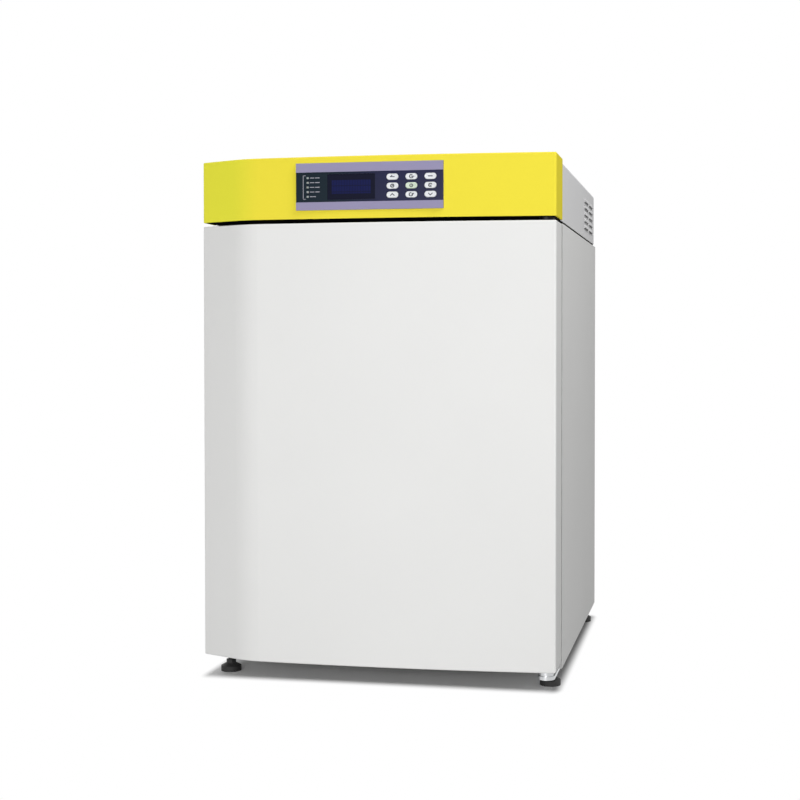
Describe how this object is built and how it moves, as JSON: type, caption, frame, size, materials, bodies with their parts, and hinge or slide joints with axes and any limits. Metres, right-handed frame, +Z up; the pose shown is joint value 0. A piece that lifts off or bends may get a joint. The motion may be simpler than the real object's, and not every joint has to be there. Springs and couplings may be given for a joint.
{
  "type": "carbon dioxide incubator",
  "caption": "Insulated cabinet incubator with a bowed front door, yellow control hood, inner glass door, shelves, humidity pan and levelling feet.",
  "frame": {"origin": "on the floor, under the middle of the overall box", "axes": "+X right as seen from the front, +Y to the rear, +Z up"},
  "size_m": [0.62, 0.747, 0.9],
  "materials": {
    "white_enamel": "satin powder coat",
    "white_frame": "satin moulding",
    "hood_yellow": "satin coloured moulding",
    "black_sheet": "matt black coat",
    "grey_cover": "satin powder coat",
    "stainless": "satin stainless sheet",
    "zinc_steel": "zinc plated",
    "silver_bezel": "silver lacquer",
    "navy_overlay": "printed film",
    "display": "dark display window",
    "lamps": "frosted light pipe",
    "button_white": "satin key cap",
    "board_green": "lacquered board",
    "black_plastic": "moulded",
    "black_rubber": "matt rubber",
    "grey_seal": "soft profile",
    "clear_silicone": "translucent silicone",
    "glass": "tempered clear",
    "mineral_wool": "pressed fibre board",
    "heater_foil": "foil mat",
    "brass": "turned",
    "aluminium": "anodised",
    "nylon": "natural nylon"
  },
  "bodies": {
    "cabinet": {"base_pan": "white_enamel", "side_panel_left": "white_enamel", "side_panel_right": "white_enamel", "rear_panel": "white_enamel", "front_frame": "white_frame", "equipment_deck": "black_sheet", "chamber_liner": "stainless", "heater_mats": "heater_foil", "insulation_jacket": "mineral_wool", "shelf_rack_left": "stainless", "shelf_rack_right": "stainless", "fan_shroud": "stainless", "fan_motor": "black_plastic", "sensor_block": "aluminium", "inner_door_gasket": "clear_silicone", "inner_hinge_posts": "zinc_steel", "hinge_bracket_bottom": "zinc_steel", "hinge_bracket_top": "zinc_steel", "hood_fascia": "hood_yellow", "hood_underside": "black_sheet", "panel_bezel": "silver_bezel", "panel_overlay": "navy_overlay", "display_module": "display", "status_lights": "lamps", "control_board": "board_green", "top_cover": "grey_cover", "connector_panel": "white_enamel", "power_supply": "aluminium", "gas_valve": "brass", "gas_inlet": "brass", "power_inlet": "black_plastic", "access_port": "nylon"},
    "outer_door": {"door_skin": "white_enamel", "door_inner_panel": "white_enamel", "door_insulation": "mineral_wool", "door_gasket": "grey_seal", "door_bushes": "nylon"},
    "inner_door": {"inner_door_glass": "glass", "inner_door_hinges": "zinc_steel"},
    "door_knob": {"inner_door_knob": "black_plastic"},
    "fan": {"fan_wheel": "aluminium"},
    "rocker": {"power_switch": "black_plastic"},
    "plug": {"port_plug": "clear_silicone"},
    "tray": {"humidity_pan": "stainless"},
    "shelf_body_1": {"shelf_1": "stainless"},
    "shelf_body_2": {"shelf_2": "stainless"},
    "shelf_body_3": {"shelf_3": "stainless"},
    "key_1": {"button_1": "button_white"},
    "key_2": {"button_2": "button_white"},
    "key_3": {"button_3": "button_white"},
    "key_4": {"button_4": "button_white"},
    "key_5": {"button_5": "button_white"},
    "key_6": {"button_6": "button_white"},
    "key_7": {"button_7": "button_white"},
    "key_8": {"button_8": "button_white"},
    "key_9": {"button_9": "button_white"},
    "leveller_front_left": {"foot_front_left": "black_rubber"},
    "leveller_front_right": {"foot_front_right": "black_rubber"},
    "leveller_rear_left": {"foot_rear_left": "black_rubber"},
    "leveller_rear_right": {"foot_rear_right": "black_rubber"}
  },
  "joints": [
    {"name": "outer_door_hinge", "type": "hinge", "parent": "cabinet", "child": "outer_door", "pos_m": [0.29, -0.3215, 0.416], "axis": [0, 0, 1], "range_deg": [0, 120]},
    {"name": "inner_door_hinge", "type": "hinge", "parent": "cabinet", "child": "inner_door", "pos_m": [0.25, -0.2665, 0.415], "axis": [0, 0, 1], "range_deg": [0, 92]},
    {"name": "latch_knob_turn", "type": "hinge", "parent": "inner_door", "child": "door_knob", "pos_m": [-0.228, -0.2625, 0.415], "axis": [0, -1, 0], "range_deg": [0, 90]},
    {"name": "fan_spin", "type": "hinge", "parent": "cabinet", "child": "fan", "pos_m": [0, 0.13, 0.715], "axis": [0, 0, 1], "continuous": true},
    {"name": "rocker_tilt", "type": "hinge", "parent": "cabinet", "child": "rocker", "pos_m": [-0.185, 0.3455, 0.846], "axis": [-1, 0, 0], "range_deg": [0, 16]},
    {"name": "plug_pull", "type": "slide", "parent": "cabinet", "child": "plug", "axis": [0, 1, 0], "range_m": [0, 0.04]},
    {"name": "tray_slide", "type": "slide", "parent": "cabinet", "child": "tray", "axis": [0, -1, 0], "range_m": [0, 0.068]},
    {"name": "shelf_1_slide", "type": "slide", "parent": "cabinet", "child": "shelf_body_1", "axis": [0, -1, 0], "range_m": [0, 0.068]},
    {"name": "shelf_2_slide", "type": "slide", "parent": "cabinet", "child": "shelf_body_2", "axis": [0, -1, 0], "range_m": [0, 0.068]},
    {"name": "shelf_3_slide", "type": "slide", "parent": "cabinet", "child": "shelf_body_3", "axis": [0, -1, 0], "range_m": [0, 0.068]},
    {"name": "button_1_press", "type": "slide", "parent": "cabinet", "child": "key_1", "axis": [0, 1, 0], "range_m": [0, 0.0008], "stiffness_N_per_m": 1500},
    {"name": "button_2_press", "type": "slide", "parent": "cabinet", "child": "key_2", "axis": [0, 1, 0], "range_m": [0, 0.0008], "stiffness_N_per_m": 1500},
    {"name": "button_3_press", "type": "slide", "parent": "cabinet", "child": "key_3", "axis": [0, 1, 0], "range_m": [0, 0.0008], "stiffness_N_per_m": 1500},
    {"name": "button_4_press", "type": "slide", "parent": "cabinet", "child": "key_4", "axis": [0, 1, 0], "range_m": [0, 0.0008], "stiffness_N_per_m": 1500},
    {"name": "button_5_press", "type": "slide", "parent": "cabinet", "child": "key_5", "axis": [0, 1, 0], "range_m": [0, 0.0008], "stiffness_N_per_m": 1500},
    {"name": "button_6_press", "type": "slide", "parent": "cabinet", "child": "key_6", "axis": [0, 1, 0], "range_m": [0, 0.0008], "stiffness_N_per_m": 1500},
    {"name": "button_7_press", "type": "slide", "parent": "cabinet", "child": "key_7", "axis": [0, 1, 0], "range_m": [0, 0.0008], "stiffness_N_per_m": 1500},
    {"name": "button_8_press", "type": "slide", "parent": "cabinet", "child": "key_8", "axis": [0, 1, 0], "range_m": [0, 0.0008], "stiffness_N_per_m": 1500},
    {"name": "button_9_press", "type": "slide", "parent": "cabinet", "child": "key_9", "axis": [0, 1, 0], "range_m": [0, 0.0008], "stiffness_N_per_m": 1500},
    {"name": "foot_front_left_turn", "type": "hinge", "parent": "cabinet", "child": "leveller_front_left", "pos_m": [-0.288, -0.2525, 0.02], "axis": [0, 0, 1], "continuous": true},
    {"name": "foot_front_right_turn", "type": "hinge", "parent": "cabinet", "child": "leveller_front_right", "pos_m": [0.288, -0.2525, 0.02], "axis": [0, 0, 1], "continuous": true},
    {"name": "foot_rear_left_turn", "type": "hinge", "parent": "cabinet", "child": "leveller_rear_left", "pos_m": [-0.288, 0.3095, 0.02], "axis": [0, 0, 1], "continuous": true},
    {"name": "foot_rear_right_turn", "type": "hinge", "parent": "cabinet", "child": "leveller_rear_right", "pos_m": [0.288, 0.3095, 0.02], "axis": [0, 0, 1], "continuous": true}
  ],
  "couplings": [
    {"joint": "inner_door_hinge", "follows": "outer_door_hinge", "ratio": 0.766},
    {"joint": "tray_slide", "follows": "outer_door_hinge", "m_per_rad": 0.032},
    {"joint": "shelf_1_slide", "follows": "outer_door_hinge", "m_per_rad": 0.032},
    {"joint": "shelf_2_slide", "follows": "outer_door_hinge", "m_per_rad": 0.032},
    {"joint": "shelf_3_slide", "follows": "outer_door_hinge", "m_per_rad": 0.032}
  ]
}
